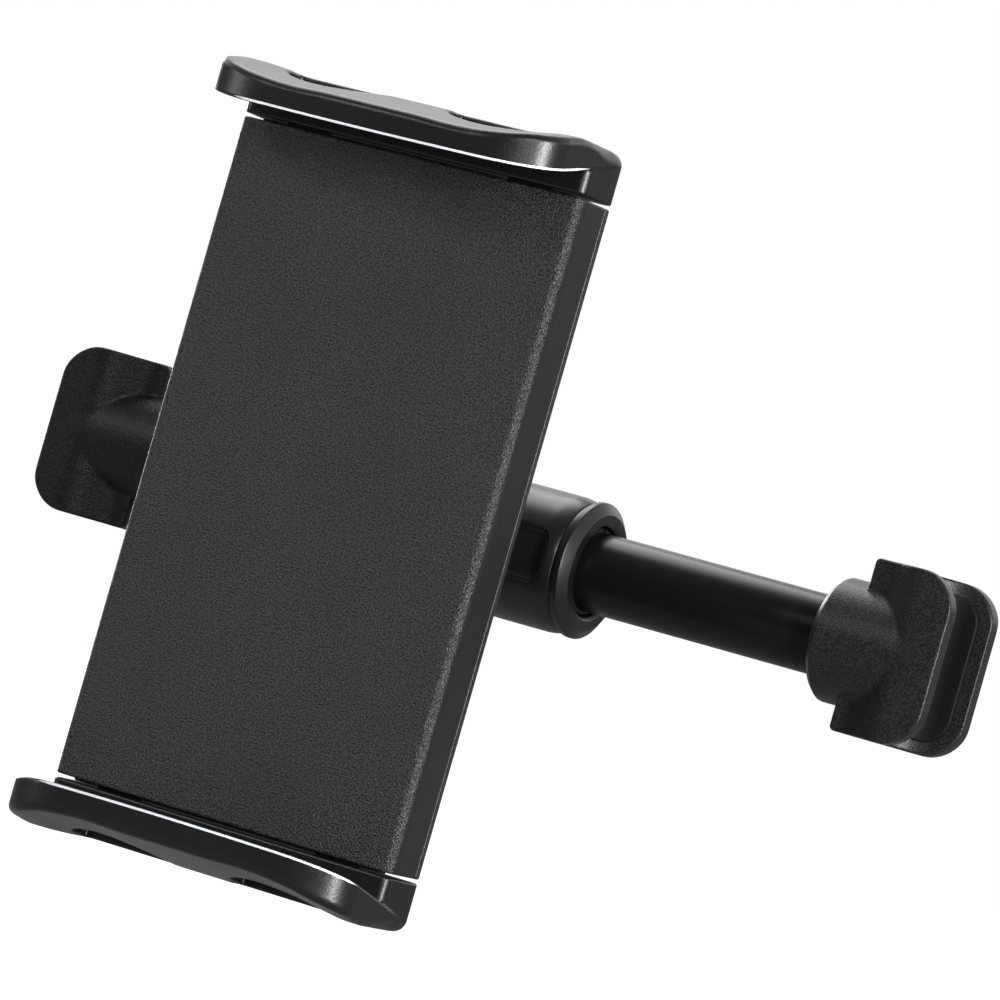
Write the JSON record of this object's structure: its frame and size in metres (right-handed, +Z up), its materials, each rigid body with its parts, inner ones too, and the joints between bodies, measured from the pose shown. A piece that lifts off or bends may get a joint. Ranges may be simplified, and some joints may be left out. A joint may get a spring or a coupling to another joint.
{
  "type": "phone and tablet holder",
  "caption": "Spring-jawed tablet holder on a ball joint, carried by a telescopic bar whose forked hooks press against the posts of a car headrest.",
  "frame": {"origin": "axis of the left headrest post at the height of the crossbar", "axes": "+X along the crossbar to the right post, -Y towards the passenger (the device side), +Z up along the posts"},
  "size_m": [0.1862, 0.0945, 0.139],
  "materials": {
    "hook_plastic": "fine satin grain",
    "bar_plastic": "smooth satin",
    "rod_paint": "satin black tube",
    "cover_plastic": "fine satin grain",
    "grained_plastic": "moulded leather grain",
    "jaw_plastic": "smooth satin",
    "inner_plastic": "plain moulded",
    "liner_rubber": "matte rubber",
    "pad_rubber": "matte rubber",
    "stud_steel": "blackened, slightly worn",
    "screw_steel": "blackened",
    "spring_steel": "drawn wire"
  },
  "bodies": {
    "crossbar": {"left_hook": "hook_plastic", "left_hook_liner": "liner_rubber", "left_hook_screw": "screw_steel", "outer_sleeve": "bar_plastic", "clamp_collet": "inner_plastic", "ball_stud": "stud_steel", "stud_lock_nut": "screw_steel"},
    "collar": {"lock_collar": "bar_plastic", "collar_cap": "bar_plastic"},
    "extension": {"inner_rod": "rod_paint", "rod_guide": "inner_plastic", "right_hook": "hook_plastic", "right_hook_liner": "liner_rubber", "right_hook_screw": "screw_steel"},
    "cup": {"friction_cup": "inner_plastic"},
    "nut": {"clamp_nut": "bar_plastic"},
    "holder": {"socket_base": "cover_plastic", "socket_screws": "screw_steel", "back_cover": "cover_plastic", "front_plate": "grained_plastic", "cover_screws": "screw_steel", "spring_pins": "screw_steel", "top_spring": "spring_steel", "bottom_spring": "spring_steel"},
    "upper_jaw": {"top_jaw": "jaw_plastic", "top_jaw_pad": "pad_rubber", "top_slider": "inner_plastic", "top_jaw_screws": "screw_steel"},
    "lower_jaw": {"bottom_jaw": "jaw_plastic", "bottom_jaw_pad": "pad_rubber", "bottom_slider": "inner_plastic", "bottom_jaw_screws": "screw_steel"}
  },
  "joints": [
    {"name": "bar_extension", "type": "slide", "parent": "crossbar", "child": "extension", "axis": [1, 0, 0], "range_m": [-0.046, 0.014]},
    {"name": "collar_lock", "type": "hinge", "parent": "crossbar", "child": "collar", "pos_m": [0.0985, 0, 0], "axis": [1, 0, 0], "range_deg": [0, 90]},
    {"name": "ball_tilt", "type": "hinge", "parent": "crossbar", "child": "cup", "pos_m": [0.082, -0.035, 0], "axis": [1, 0, 0], "range_deg": [-20, 20]},
    {"name": "ball_swivel", "type": "hinge", "parent": "cup", "child": "nut", "pos_m": [0.082, -0.035, 0], "axis": [0, 0, 1], "range_deg": [-20, 20]},
    {"name": "holder_spin", "type": "hinge", "parent": "nut", "child": "holder", "pos_m": [0.082, -0.035, 0], "axis": [0, 1, 0], "continuous": true},
    {"name": "upper_jaw_slide", "type": "slide", "parent": "holder", "child": "upper_jaw", "axis": [0, 0, 1], "range_m": [0, 0.045], "stiffness_N_per_m": 80, "springref_m": -0.06, "deforming": ["top_spring"]},
    {"name": "lower_jaw_slide", "type": "slide", "parent": "holder", "child": "lower_jaw", "axis": [0, 0, -1], "range_m": [0, 0.045], "stiffness_N_per_m": 80, "springref_m": -0.06, "deforming": ["bottom_spring"]}
  ]
}
